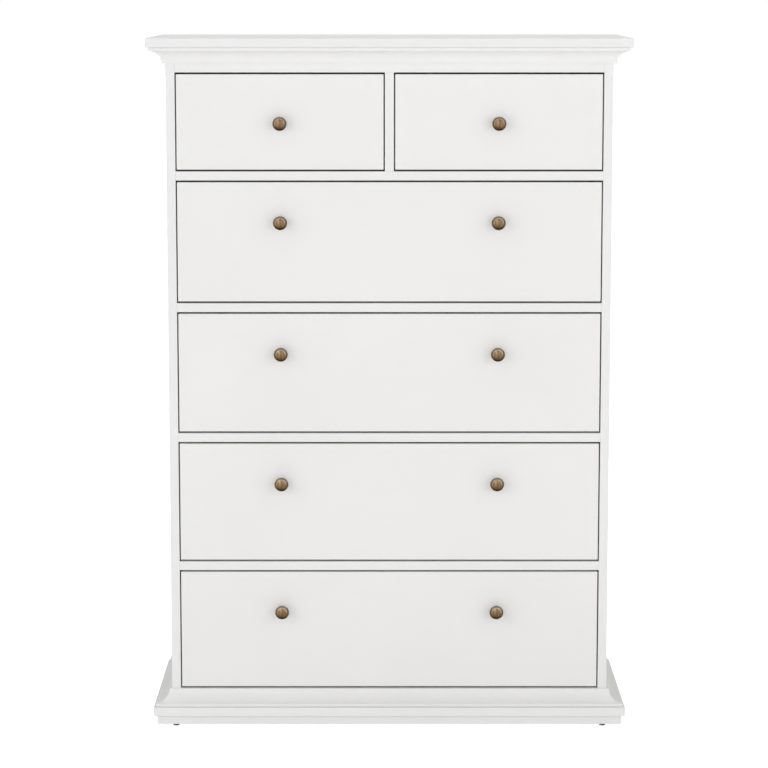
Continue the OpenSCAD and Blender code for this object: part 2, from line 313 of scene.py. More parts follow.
def brass_material(face_r, knob_r, knob_out):
    """Antique brushed brass of a knob, in the knob's own frame: Z is its axis and Y is up.
    The face is brushed from top to bottom, its edge is rubbed bright, the rim and the neck
    keep their dark patina, and lacquer lies over it all. A painted highlight lightens the
    patina and the rubbed edge towards the top, and painted shade darkens the knob towards
    its lower side, to near black at the bottom."""
    paint = Paint("aged_brushed_brass", metallic=1.0)
    x, y, z = paint.split(paint.place)
    across = paint.times(x, x)
    radius = paint.maths("SQRT", paint.maths("ADD", across, paint.times(y, y)))
    streak = paint.noise(1000.0, 3.0, stretch=(2.0, 0.06, 1.0), rough=0.65)
    broad = paint.noise(330.0, 2.0, stretch=(1.0, 0.11, 1.0))
    brushed = paint.mix(paint.span(streak, 0.36, 0.64), (0.25, 0.159, 0.089, 1), (0.59, 0.436, 0.289, 1))
    brushed = paint.mix(paint.span(broad, 0.44, 0.55, 0.0, 0.85), brushed, (0.215, 0.13, 0.063, 1))
    blotch = paint.noise(210.0, 4.0, rough=0.6)
    patina = paint.mix(paint.span(blotch, 0.35, 0.65), (0.095, 0.067, 0.046, 1), (0.175, 0.128, 0.09, 1))
    # Painted highlight: the dark patina turns lighter towards the knob's top, where the light falls.
    painted_light_on_patina = paint.span(y, 0.15 * knob_r, 0.85 * knob_r, 0.0, 0.7)
    patina = paint.mix(painted_light_on_patina, patina, (0.36, 0.30, 0.235, 1))
    front_part = paint.span(z, 0.8 * knob_out, 0.85 * knob_out)
    on_face = paint.span(radius, face_r, face_r - 0.5 * MM)
    on_face = paint.times(on_face, front_part)
    colour = paint.mix(on_face, patina, brushed)
    from_edge = paint.maths("ABSOLUTE", paint.maths("SUBTRACT", radius, face_r - 0.5 * MM))
    ring = paint.times(paint.span(from_edge, 1.1 * MM, 0.3 * MM), front_part)
    # The face's edge ring is rubbed bright, and a painted highlight makes it brighter towards the knob's
    # upper side.
    painted_light_on_ring = paint.span(y, -0.5 * knob_r, 0.3 * knob_r, 0.15, 1.0)
    rubbed = paint.times(ring, paint.span(paint.noise(170.0, 3.0), 0.3, 0.6, 0.35, 0.9))
    colour = paint.mix(paint.times(rubbed, painted_light_on_ring), colour, (0.78, 0.62, 0.47, 1))
    # Painted shade: the knob darkens towards its lower side, along a ragged line.
    ragged = paint.times(paint.span(blotch, 0.2, 0.8, -1.0, 1.0), 0.08 * knob_r)
    height = paint.maths("ADD", y, ragged)
    painted_shade_lower = paint.span(height, 0.40 * knob_r, -0.55 * knob_r, 0.0, 0.80)
    colour = paint.mix(painted_shade_lower, colour, (0.17, 0.092, 0.028, 1))
    # Painted shade: the knob's bottom goes near black.
    painted_shade_bottom = paint.span(height, -0.35 * knob_r, -0.85 * knob_r, 0.0, 0.92)
    colour = paint.mix(painted_shade_bottom, colour, (0.030, 0.020, 0.010, 1))
    paint.drive("Base Color", colour)
    satin = paint.span(streak, 0.3, 0.7, 0.34, 0.46)
    dull = paint.span(blotch, 0.3, 0.7, 0.42, 0.56)
    paint.drive("Roughness", paint.node("ShaderNodeMix", {0: on_face, 2: dull, 3: satin}).outputs[0])
    lines = paint.bump(paint.times(streak, on_face), 0.00006)
    paint.relief(paint.noise(900.0, 2.0), 0.00002, lines)
    paint.set(Coat_Weight=0.12, Coat_Roughness=0.3)
    return paint.material


def epoxy_material():
    """White powder coat on folded steel, rubbed grey where it rolls and at its edges."""
    paint = Paint("white_epoxy_steel")
    tone = paint.clouds(14.0, 3.0, (0.80, 0.80, 0.785, 1), (0.74, 0.74, 0.725, 1))
    edge = paint.edges(0.7 * MM)
    chip = paint.span(paint.noise(120.0, 4.0, rough=0.7), 0.50, 0.60)
    bare = paint.times(edge, chip)
    rub = paint.span(paint.noise(60.0, 3.0, stretch=(3.0, 0.25, 3.0)), 0.55, 0.72, 0.0, 0.5)
    tone = paint.mix(rub, tone, (0.56, 0.56, 0.55, 1))
    paint.drive("Base Color", paint.mix(bare, tone, (0.36, 0.35, 0.34, 1)))
    paint.vary_roughness(80.0, 3.0, 0.28, 0.44)
    peel = paint.bump(paint.noise(420.0, 2.0), 0.00003)
    paint.relief(paint.maths("SUBTRACT", 1.0, bare), 0.00004, peel)
    return paint.material


def zinc_material():
    """Zinc-plated steel with the faint rainbow of its passivation."""
    paint = Paint("zinc_plate", metallic=1.0)
    tint = paint.noise(260.0, 3.0)
    cold = (0.62, 0.64, 0.66, 1)
    warm = (0.66, 0.62, 0.50, 1)
    tone = paint.mix(paint.span(tint, 0.38, 0.62), cold, warm)
    dirt = paint.span(paint.noise(700.0, 3.0), 0.55, 0.72, 0.0, 0.5)
    paint.drive("Base Color", paint.mix(dirt, tone, (0.30, 0.29, 0.27, 1)))
    paint.vary_roughness(500.0, 3.0, 0.24, 0.42)
    paint.relief(paint.noise(1500.0, 2.0), 0.00002)
    return paint.material


def nylon_material():
    """Off-white moulded nylon, with a grey running track from the steel."""
    paint = Paint("moulded_nylon")
    tone = paint.clouds(120.0, 3.0, (0.80, 0.785, 0.73, 1), (0.74, 0.72, 0.66, 1))
    track = paint.span(paint.noise(240.0, 4.0, stretch=(4.0, 1.0, 1.0)), 0.50, 0.68, 0.0, 0.4)
    paint.drive("Base Color", paint.mix(track, tone, (0.48, 0.47, 0.45, 1)))
    paint.vary_roughness(400.0, 2.0, 0.30, 0.44)
    paint.relief(paint.noise(1600.0, 2.0), 0.00002)
    paint.set(Subsurface_Weight=0.15, Subsurface_Scale=0.002)
    return paint.material


def dark_plastic_material():
    """Dark grey moulded plastic with a spark-eroded surface, scuffed where it stands."""
    paint = Paint("dark_moulded_plastic")
    tone = paint.clouds(150.0, 3.0, (0.065, 0.065, 0.069, 1), (0.105, 0.104, 0.108, 1))
    low = paint.span(paint.split(paint.place)[2], 1.6 * MM, 0.2 * MM)
    scuff = paint.times(low, paint.span(paint.noise(600.0, 3.0), 0.42, 0.62))
    paint.drive("Base Color", paint.mix(scuff, tone, (0.22, 0.215, 0.21, 1)))
    paint.vary_roughness(900.0, 2.0, 0.42, 0.62)
    paint.relief(paint.noise(2200.0, 2.0), 0.00004)
    return paint.material


# ---- mesh helpers ----


def link(name, data):
    made = bpy.data.objects.new(name, data)
    bpy.context.scene.collection.objects.link(made)
    return made


def make_piece(name, bm, materials, body, stands_for=(), smooth=35.0, at=None):
    """Closes a bmesh into a named piece that rides on a body."""
    bmesh.ops.recalc_face_normals(bm, faces=bm.faces[:])
    mesh = bpy.data.meshes.new(name)
    bm.to_mesh(mesh)
    bm.free()
    for material in materials:
        mesh.materials.append(material)
    mesh.shade_smooth()
    mesh.set_sharp_from_angle(angle=math.radians(smooth))
    piece = link(name, mesh)
    if at:
        piece.matrix_world = at
    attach(piece, body)
    if stands_for:
        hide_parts(*stands_for)
    return piece


def paint_faces(bm, first, index):
    """Gives the faces made since first the material slot index."""
    bm.faces.ensure_lookup_table()
    for face in bm.faces[first:]:
        face.material_index = index


def rounded(corners, steps=5):
    """Outline through corners (x, y, radius), each turned with an arc of its radius."""
    points = []
    for i, (x, y, radius) in enumerate(corners):
        here = Vector((x, y))
        if radius <= 0:
            points.append((x, y))
            continue
        before = Vector(corners[i - 1][:2]) - here
        after = Vector(corners[(i + 1) % len(corners)][:2]) - here
        before.normalize()
        after.normalize()
        half = before.angle(after) / 2
        middle = here + (before + after).normalized() * (radius / math.sin(half))
        start = here + before * (radius / math.tan(half)) - middle
        turn = start.angle_signed(here + after * (radius / math.tan(half)) - middle)
        for step in range(steps + 1):
            angle = -turn * step / steps
            spun = Matrix.Rotation(angle, 2) @ start
            points.append(tuple(middle + spun))
    return points


def arc(x, y, radius, start, end, steps):
    """Points on a circle's arc, angles in degrees."""
    points = []
    for step in range(steps + 1):
        angle = math.radians(start + (end - start) * step / steps)
        points.append((x + radius * math.cos(angle), y + radius * math.sin(angle)))
    return points


def circle(x, y, radius, steps=20):
    return arc(x, y, radius, 0.0, 360.0 * (steps - 1) / steps, steps - 1)


def lathe(bm, profile, steps, place):
    """Turns profile, points (radius, height), round local Z. Returns its rings of vertices;
    a point on the axis is a ring of one vertex."""
    rings = []
    for radius, height in profile:
        if radius <= 1e-9:
            rings.append([bm.verts.new(place @ Vector((0, 0, height)))])
            continue
        ring = []
        for step in range(steps):
            angle = 2 * math.pi * step / steps
            point = Vector((radius * math.cos(angle), radius * math.sin(angle), height))
            ring.append(bm.verts.new(place @ point))
        rings.append(ring)
    for low, high in zip(rings, rings[1:]):
        for i in range(steps):
            j = (i + 1) % steps
            corners = [low[i % len(low)], low[j % len(low)], high[j % len(high)], high[i % len(high)]]
            kept = list(dict.fromkeys(corners))
            if len(kept) > 2:
                bm.faces.new(kept)
    return rings


def fill_between(bm, outlines):
    """Faces between an outer ring of vertices and the rings inside it."""
    edges = []
    for ring in outlines:
        for a, b in zip(ring, ring[1:] + ring[:1]):
            edges.append(bm.edges.get((a, b)) or bm.edges.new((a, b)))
    bmesh.ops.triangle_fill(bm, edges=edges, use_beauty=True)


def cross_recess(bm, ring, place, height, width, reach, depth):
    """Closes a ring of vertices at height with a face that has a tapered cross in it."""
    w, r = width / 2, reach
    outline = [(w, -r), (w, -w), (r, -w), (r, w), (w, w), (w, r)]
    outline += [(-x, -y) for x, y in outline]
    top = [bm.verts.new(place @ Vector((x, y, height))) for x, y in outline]
    low = [bm.verts.new(place @ Vector((x * 0.7, y * 0.7, height - depth))) for x, y in outline]
    fill_between(bm, [ring, top])
    for i in range(len(top)):
        j = (i + 1) % len(top)
        bm.faces.new((top[i], top[j], low[j], low[i]))
    bmesh.ops.triangulate(bm, faces=[bm.faces.new(low)])


def screw(bm, place, radius, height, sunk=1.0):
    """Screw head with a cross recess, its foot sunk mm below the surface at local Z 0."""
    edge = min(radius * 0.35, height * 0.7)
    profile = [(0.0, -sunk * MM), (radius * 0.96, -sunk * MM), (radius, -sunk * MM * 0.9)]
    profile += [(radius, height - edge)]
    profile += arc(radius - edge, height - edge, edge, 20, 80, 4)
    profile += [(radius * 0.60, height)]
    rings = lathe(bm, profile, 24, place)
    cross_recess(bm, rings[-1], place, height, radius * 0.26, radius * 0.5, height * 0.6)


def cam(bm, place, radius=7.5 * MM):
    """Cam fitting set into a board: a zinc disc with a raised lip and a cross slot."""
    lip = 0.9 * MM
    out = 0.35 * MM
    profile = [(0.0, -3 * MM), (radius, -3 * MM), (radius, out - 0.15 * MM)]
    profile += [(radius - 0.15 * MM, out), (radius - lip, out), (radius - lip - 0.2 * MM, -0.5 * MM)]
    rings = lathe(bm, profile, 32, place)
    cross_recess(bm, rings[-1], place, -0.5 * MM, 1.5 * MM, 4.0 * MM, 1.4 * MM)


def facing(point, normal):
    """Places local Z along normal at point."""
    turn = Vector(normal).to_track_quat("Z", "Y").to_matrix().to_4x4()
    return Matrix.Translation(point) @ turn


def folded_point(path, s):
    """Where a folded sheet's middle line is at distance s, and its heading there. A path is
    (x, z, heading, radius, legs), each leg a straight length and the turn after it."""
    x, z, heading, radius, legs = path
    for straight, turn in legs:
        part = min(s, straight)
        if not turn:
            part = s
        x += part * math.cos(heading)
        z += part * math.sin(heading)
        s -= part
        if s <= 1e-9:
            break
        side = math.copysign(1.0, turn)
        arc_part = min(s, abs(turn) * radius)
        after = heading + side * arc_part / radius
        x += side * radius * (math.sin(after) - math.sin(heading))
        z -= side * radius * (math.cos(after) - math.cos(heading))
        heading = after
        s -= arc_part
        if s <= 1e-9:
            break
    return x, z, heading


def folded_sheet(bm, outline, holes, path, thickness, to_frame):
    """Sheet metal: a flat pattern (distance along the path, distance along Y) with holes,
    cut along its bends, given its thickness and folded. to_frame(x, y, z) gives a corner."""
    flat = bmesh.new()
    for loop in [outline, *holes]:
        ring = [flat.verts.new((s, y, 0.0)) for s, y in loop]
        for a, b in zip(ring, ring[1:] + ring[:1]):
            flat.edges.new((a, b))
    bmesh.ops.triangle_fill(flat, edges=flat.edges[:], use_beauty=True)
    reached = 0.0
    radius = path[3]
    for straight, turn in path[4]:
        reached += straight
        for step in range(7):
            s = reached + abs(turn) * radius * step / 6
            if turn:
                everything = flat.verts[:] + flat.edges[:] + flat.faces[:]
                cut = {"plane_co": (s, 0, 0), "plane_no": (1, 0, 0)}
                bmesh.ops.bisect_plane(flat, geom=everything, dist=1e-7, **cut)
        reached += abs(turn) * radius
    sides = {}
    for vert in flat.verts:
        s, y = vert.co.x, vert.co.y
        x, z, heading = folded_point(path, s)
        across = Vector((-math.sin(heading), 0, math.cos(heading))) * (thickness / 2)
        middle = Vector((x, y, z))
        sides[vert] = [bm.verts.new(to_frame(*(middle + k * across))) for k in (1, -1)]
    for face in flat.faces:
        bm.faces.new([sides[v][0] for v in face.verts])
        bm.faces.new([sides[v][1] for v in reversed(face.verts)])
    for edge in flat.edges:
        if edge.is_boundary:
            a, b = edge.verts
            bm.faces.new((sides[a][0], sides[b][0], sides[b][1], sides[a][1]))
    flat.free()


def slot_outline(s, y, width, length, steps=6):
    """Slot along Y with round ends, in a flat pattern."""
    r = width / 2
    half = length / 2 - r
    return arc(s, y + half, r, 0, 180, steps) + arc(s, y - half, r, 180, 360, steps)


def plate(end_s, start_y, end_y, *radii):
    """Rectangle in a flat pattern, with a radius in mm for each of its four corners."""
    corners = ((0, start_y), (end_s, start_y), (end_s, end_y), (0, end_y))
    return rounded([(s, y, r * MM) for (s, y), r in zip(corners, radii)])


def rounded_box(bm, low, high, radius, segments):
    """Box between two corners with every edge rounded."""
    size = high - low
    made = bmesh.ops.create_cube(bm, size=1.0)["verts"]
    for vert in made:
        share = vert.co + Vector((0.5, 0.5, 0.5))
        vert.co = low + Vector((share.x * size.x, share.y * size.y, share.z * size.z))
    edges = list({edge for vert in made for edge in vert.link_edges})
    bmesh.ops.bevel(bm, geom=edges, offset=radius, segments=segments, profile=0.5, affect="EDGES")


def cut_out(solid, cutter):
    """The solid bmesh with the cutter bmesh taken out of it; both are used up."""
    parts = []
    for source in (solid, cutter):
        bmesh.ops.recalc_face_normals(source, faces=source.faces[:])
        mesh = bpy.data.meshes.new("cut")
        source.to_mesh(mesh)
        source.free()
        parts.append(link("cut", mesh))
    body, tool = parts
    sink = body.modifiers.new("cut", "BOOLEAN")
    sink.operation = "DIFFERENCE"
    sink.solver = "EXACT"
    sink.object = tool
    bpy.context.view_layer.update()
    seen = body.evaluated_get(bpy.context.evaluated_depsgraph_get())
    mesh = bpy.data.meshes.new_from_object(seen)
    result = bmesh.new()
    result.from_mesh(mesh)
    bpy.data.meshes.remove(mesh)
    for part in parts:
        bpy.data.meshes.remove(part.data)
    return result


def even_shading(piece):
    """Keeps the flat faces flat beside their rounded edges."""
    modifier = piece.modifiers.new("even_shading", "WEIGHTED_NORMAL")
    modifier.keep_sharp = True
    return piece


def ease(node, width, segments=3, angle=30.0):
    """Rounds a CAD node's edges with modifiers, without touching its mesh."""
    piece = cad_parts[node]
    weld = piece.modifiers.new("join_corners", "WELD")
    weld.merge_threshold = 0.00001
    bevel = piece.modifiers.new("eased_edges", "BEVEL")
    bevel.width = width
    bevel.segments = segments
    bevel.limit_method = "ANGLE"
    bevel.angle_limit = math.radians(angle)
    bevel.harden_normals = True
    bevel.use_clamp_overlap = False
    bevel.loop_slide = False
    return piece


def wear(node, material):
    """Gives a CAD node its material, on the object and not on the mesh."""
    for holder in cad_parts[node].material_slots:
        holder.link = "OBJECT"
        holder.material = material


# ---- carcass ----


def dress_carcass(board):
    widths = {
        "top_board": 1.2,
        "base_board": 1.2,
        "left_side_panel": 0.6,
        "right_side_panel": 0.6,
        "centre_divider": 0.6,
        "cross_rails": 0.6,
        "base_frame": 1.0,
    }
    for node, width in widths.items():
        ease(node, width * MM)
        wear(node, board)


def moulding_outline(heel_r, edge_r, step):
    """Section of both mouldings: outwards from the carcass, away from the board. heel_r
    rounds the fillet's edge against the board, edge_r its other edge, and step is the
    ledge between the fillet and the cove."""
    out = BASE_HIGH.x - CARCASS_X
    high = BASE_HIGH.z - BASE_LOW.z
    fillet = 7 * MM
    hollow = high - fillet
    centre = out - step
    flat = rounded([(0, 0, 0), (out, 0, heel_r), (out, fillet, edge_r), (centre, fillet, 0)])
    curve = arc(centre, high, hollow, -90, -180, 30)
    lip = rounded([curve[-2] + (0,), (centre - hollow, high, 0.7 * MM), (0, high, 0)])
    return flat[:-1] + curve[:-1] + lip[1:]


def moulding_length(name, stations, turned, material, node):
    """One length of moulding between two stations, each a function of the distance out."""
    bm = bmesh.new()
    heel_r, edge_r, step = (1.8, 0.5, 0.5) if turned else (2.1, 1.0, 1.0)
    outline = moulding_outline(heel_r * MM, edge_r * MM, step * MM)
    rows = []
    for station in stations:
        row = []
        for out, up in outline:
            x, y = station(out)
            z = CORNICE_HIGH.z - up if turned else BASE_LOW.z + up
            row.append(bm.verts.new((x, y, z)))
        rows.append(row)
    for i in range(len(outline)):
        j = (i + 1) % len(outline)
        bm.faces.new((rows[0][i], rows[0][j], rows[1][j], rows[1][i]))
    for row in rows:
        bm.faces.new(row)
    piece = make_piece(name, bm, [material], "carcass", [node], 25.0)
    bevel = piece.modifiers.new("eased_ends", "BEVEL")
    bevel.width = 0.3 * MM
    bevel.segments = 2
    bevel.limit_method = "ANGLE"
    bevel.angle_limit = math.radians(32)
    return piece


def build_mouldings(material):
    """Three lengths under the top board and three above the base, mitred at the front."""
    gap = 0.2 * MM
    for kind, node, turned in (("cornice", "cornice_moulding", True), ("base", "base_moulding", False)):
        ends = [lambda out, k=k: (k * (CARCASS_X + out), FRONT_Y - out) for k in (-1, 1)]
        moulding_length(kind + "_moulding_front", ends, turned, material, node)
        for side, k in (("left", -1), ("right", 1)):
            ends = [
                lambda out, k=k: (k * (CARCASS_X + out), FRONT_Y - out + gap),
                lambda out, k=k: (k * (CARCASS_X + out), BACK_Y),
            ]
            moulding_length(f"{kind}_moulding_{side}", ends, turned, material, node)


def build_glides(material, zinc):
    """Four nail-on glides: a tapered foot with a soft lower edge and its nail in a recess."""
    low_r = 6.3 * MM
    top_r = 7.5 * MM
    high = GLIDES_HIGH.z
    profile = [(0, high), (top_r, high), (top_r, high - 0.8 * MM)]
    profile += arc(low_r - 1.0 * MM, 1.0 * MM, 1.0 * MM, 0, -90, 5)
    profile += [(3.4 * MM, 0), (3.0 * MM, 0.3 * MM), (2.9 * MM, 1.6 * MM), (0, 1.6 * MM)]
    nail = [(0, 1.0 * MM)] + arc(0.0, 0.0, 2.5 * MM, 66, 20, 4)
    nail = [(r, 1.9 * MM - 0.36 * h) for r, h in nail] + [(2.4 * MM, 2.0 * MM), (0, 2.0 * MM)]
    for side, x in (("left", GLIDES_LOW.x + top_r), ("right", GLIDES_HIGH.x - top_r)):
        for end, y in (("front", GLIDES_LOW.y + top_r), ("rear", GLIDES_HIGH.y - top_r)):
            bm = bmesh.new()
            place = Matrix.Translation((x, y, 0))
            lathe(bm, profile, 40, place)
            first = len(bm.faces)
            lathe(bm, nail, 20, place)
            paint_faces(bm, first, 1)
            make_piece(f"glide_{end}_{side}", bm, [material, zinc], "carcass", ["glide_feet"])


def nail_places():
    """Nails round the back panel, across the rear rail and up the divider."""
    half_board = 9 * MM
    first = 14 * MM
    places = []
    for step in range(12):
        z = BACK_LOW.z + first + step * (BACK_HIGH.z - BACK_LOW.z - 2 * first) / 11
        places += [(BACK_LOW.x + half_board, z), (BACK_HIGH.x - half_board, z)]
    for step in range(1, 8):
        x = BACK_LOW.x + half_board + step * (BACK_HIGH.x - BACK_LOW.x - 2 * half_board) / 8
        places.append((x, BACK_HIGH.z - half_board))
        places.append((x, DIVIDER_LOW.z - half_board))
    for step in range(1, 4):
        places.append((0.0, DIVIDER_LOW.z + step * 55 * MM))
    return places


def build_back(brown, white, zinc):
    """Back panel, white on the inside, with its two fixing holes and a dimple round every
    nail, and the nails."""
    solid = bmesh.new()
    cutter = bmesh.new()
    heads = bmesh.new()
    rounded_box(solid, BACK_LOW, BACK_HIGH, 0.4 * MM, 2)
    dimple = [(0, 0.45 * MM), (2.2 * MM, 0.45 * MM), (2.8 * MM, -0.2 * MM), (0, -0.2 * MM)]
    head = [(0, 1.5 * MM), (0.8 * MM, 1.5 * MM), (0.8 * MM, 0.5 * MM), (2.0 * MM, 0.42 * MM)]
    head += [(2.1 * MM, 0.25 * MM), (1.7 * MM, 0.12 * MM), (0.9 * MM, 0.06 * MM), (0, 0.05 * MM)]
    for x, z in nail_places():
        place = facing((x, BACK_HIGH.y, z), (0, -1, 0))
        lathe(cutter, dimple, 14, place)
        lathe(heads, head, 14, place)
    hole = [(0, 4 * MM), (2.5 * MM, 4 * MM), (2.5 * MM, -1 * MM), (0, -1 * MM)]
    hole_x = 300 * MM
    hole_z = BACK_HIGH.z - 25 * MM
    for x in (-hole_x, hole_x):
        lathe(cutter, hole, 24, facing((x, BACK_HIGH.y, hole_z), (0, -1, 0)))
    panel = cut_out(solid, cutter)
    for face in panel.faces:
        if face.calc_center_median().y < BACK_LOW.y + 0.1 * MM:
            face.material_index = 1
    coats = [brown, white]
    even_shading(make_piece("back_board", panel, coats, "carcass", ["back_panel"]))
    make_piece("back_panel_nails", heads, [zinc], "carcass")


def build_carcass_fittings(zinc):
    """Cam fittings under the rails and inside the side panels, and the base's screws."""
    bm = bmesh.new()
    in_from_end = 34 * MM
    for drawer in WIDE_DRAWERS:
        rail_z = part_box(drawer + "_front")[1].z + ROW_GAP
        for x in (-INNER_X + in_from_end, INNER_X - in_from_end):
            for y in (FRONT_Y + 24 * MM, FRONT_Y + 60 * MM):
                cam(bm, facing((x, y, rail_z), (0, 0, -1)))
    for k in (-1, 1):
        for y in (FRONT_Y + 70 * MM, BACK_LOW.y - 60 * MM):
            for z in (BASE_LOW.z + in_from_end, CORNICE_HIGH.z - in_from_end):
                cam(bm, facing((k * INNER_X, y, z), (-k, 0, 0)))
    make_piece("carcass_cam_fittings", bm, [zinc], "carcass")
    bm = bmesh.new()
    long_board_y = 168 * MM
    end_board_x = 440 * MM
    spots = []
    for k in (-1, 1):
        spots += [((step - 2) * 200 * MM, k * long_board_y) for step in range(5)]
        spots += [(k * end_board_x, y) for y in (-60 * MM, 60 * MM)]
    for x, y in spots:
        screw(bm, facing((x, y, FRAME_LOW.z), (0, 0, -1)), 4.0 * MM, 0.6 * MM)
    make_piece("base_frame_screws", bm, [zinc], "carcass")


# ---- drawers ----


def knob_profile():
    """Half of a knob's lengthwise section, from its foot to the middle of its face."""
    neck = arc(14.5, 8.0, 9.0, 232.5, 127.5, 18)
    section = [(2.1, 0.0), (8.7, 0.0), (9.0, 0.3), (9.0, 0.7)]
    section += neck
    section += [(9.6, 15.75), (10.2, 16.02)]
    section += arc(10.0, 20.0, 4.0, -86, 84, 24)
    section += [(10.38, 23.82), (10.28, 23.76), (10.15, 23.81), (10.05, 24.06), (9.86, 24.26)]
    dome_r = 31.25
    for step in range(1, 11):
        r = 9.7 * (1 - step / 10)
        section.append((r, 26.0 - dome_r + math.sqrt(dome_r * dome_r - r * r)))
    return [(r * MM, h * MM) for r, h in section]


def build_knobs(drawer, brass, zinc):
    """A drawer's knobs and the screws that hold them from inside."""
    face_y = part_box(drawer + "_front")[0].y
    back_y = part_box(drawer + "_front")[1].y
    profile = knob_profile()
    bore = [(2.1 * MM, 0.0), (2.1 * MM, 13 * MM), (0.0, 14 * MM)]
    screws = bmesh.new()
    for name, (x, z) in knob_centres(drawer).items():
        bm = bmesh.new()
        rings = lathe(bm, profile, 96, Matrix.Identity(4))
        inner = lathe(bm, bore, 96, Matrix.Identity(4))
        bmesh.ops.remove_doubles(bm, verts=rings[0] + inner[0], dist=1e-7)
        at = Matrix.Translation((x, face_y, z)) @ Matrix.Rotation(math.radians(90), 4, "X")
        make_piece(drawer + name, bm, [brass], drawer, [drawer + "_knobs"], 28.0, at)
        place = facing((x, back_y, z), (0, 1, 0))
        screw(screws, place, 4.0 * MM, 2.6 * MM, 0.0)
        shank = [(0, 0.4 * MM), (2 * MM, 0.4 * MM), (2 * MM, -27 * MM), (1.5 * MM, -28 * MM), (0, -28 * MM)]
        lathe(screws, shank, 20, place)
    make_piece(drawer + "_knob_screws", screws, [zinc], drawer, [drawer + "_knobs"])


def knob_centres(drawer):
    """Where a drawer's knobs stand: {suffix of the name: (x, z)}."""
    low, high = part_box(drawer + "_knobs")
    radius = (high.z - low.z) / 2
    z = (high.z + low.z) / 2
    if high.x - low.x < 3 * radius:
        return {"_knob": ((high.x + low.x) / 2, z)}
    return {"_knob_left": (low.x + radius, z), "_knob_right": (high.x - radius, z)}


def build_front(drawer, material):
    """Drawer front with soft edges, bored for the knobs and grooved for the bottom."""
    low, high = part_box(drawer + "_front")
    bottom_low, bottom_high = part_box(drawer + "_bottom")
    solid = bmesh.new()
    cutter = bmesh.new()
    rounded_box(solid, low, high, 1.5 * MM, 5)
    play = Vector((0.5 * MM, 0.5 * MM, 0.1 * MM))
    rounded_box(cutter, bottom_low - play, bottom_high + play, 0.1 * MM, 1)
    bore = [(0, -1 * MM), (2.5 * MM, -1 * MM), (2.5 * MM, 17 * MM), (0, 17 * MM)]
    for x, z in knob_centres(drawer).values():
        lathe(cutter, bore, 24, facing((x, high.y, z), (0, -1, 0)))
    panel = cut_out(solid, cutter)
    name = drawer + "_front_panel"
    even_shading(make_piece(name, panel, [material], drawer, [drawer + "_front"]))


def dress_drawer(drawer, board, bottom):
    for piece in ("_sides", "_back"):
        ease(drawer + piece, 0.5 * MM, 2)
        wear(drawer + piece, board)
    ease(drawer + "_bottom", 0.3 * MM, 2)
    wear(drawer + "_bottom", bottom)


def build_drawer_fittings(drawer, zinc):
    """Cams inside the sides that pull the front on, and screws through them into the back."""
    low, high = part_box(drawer + "_sides")
    back_low, back_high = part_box(drawer + "_back")
    bm = bmesh.new()
    for k, inner, outer in ((1, back_low.x, low.x), (-1, back_high.x, high.x)):
        for z in (back_low.z + 22 * MM, high.z - 30 * MM):
            cam(bm, facing((inner, low.y + 34 * MM, z), (k, 0, 0)))
        for z in (back_low.z + 25 * MM, back_high.z - 25 * MM):
            place = facing((outer, (back_low.y + back_high.y) / 2, z), (-k, 0, 0))
            screw(bm, place, 3.6 * MM, 0.4 * MM)
    make_piece(drawer + "_fittings", bm, [zinc], drawer)


class Runners:
    """Where one drawer's runners are: carcass faces, foot and start of its members."""

    def __init__(self, drawer):
        low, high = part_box(drawer + "_runners")
        self.faces = (low.x - FLANGE_PLAY, high.x + FLANGE_PLAY)
        self.foot = low.z - MEMBER_UP
        self.member_y = low.y
        self.channel_y = low.y + CHANNEL_IN

    def to_frame(self, right, start_y):
        """Runner section (inwards, along, up) to the row frame, on one side."""
        face = self.faces[right]
        k = -1 if right else 1
        return lambda s, y, z: (face + k * s, start_y + y, self.foot + z)

    def inwards(self, right, start_y, s, y, z):
        """Frame with local Z pointing inwards from the carcass face."""
        point = self.to_frame(right, start_y)(s, y, z)
        return facing(point, (-1 if right else 1, 0, 0))


def rivet(bm, place, radius, length, head_r, head_h):
    """Axle along local Z with a peened head at its far end."""
    profile = [(0, 0), (radius, 0), (radius, length)]
    profile += [(head_r - 0.2 * MM, length), (head_r, length + 0.25 * MM)]
    profile += [(head_r - 0.1 * MM, length + head_h * 0.7), (head_r - 0.6 * MM, length + head_h)]
    profile += [(0, length + head_h)]
    lathe(bm, profile, 24, place)


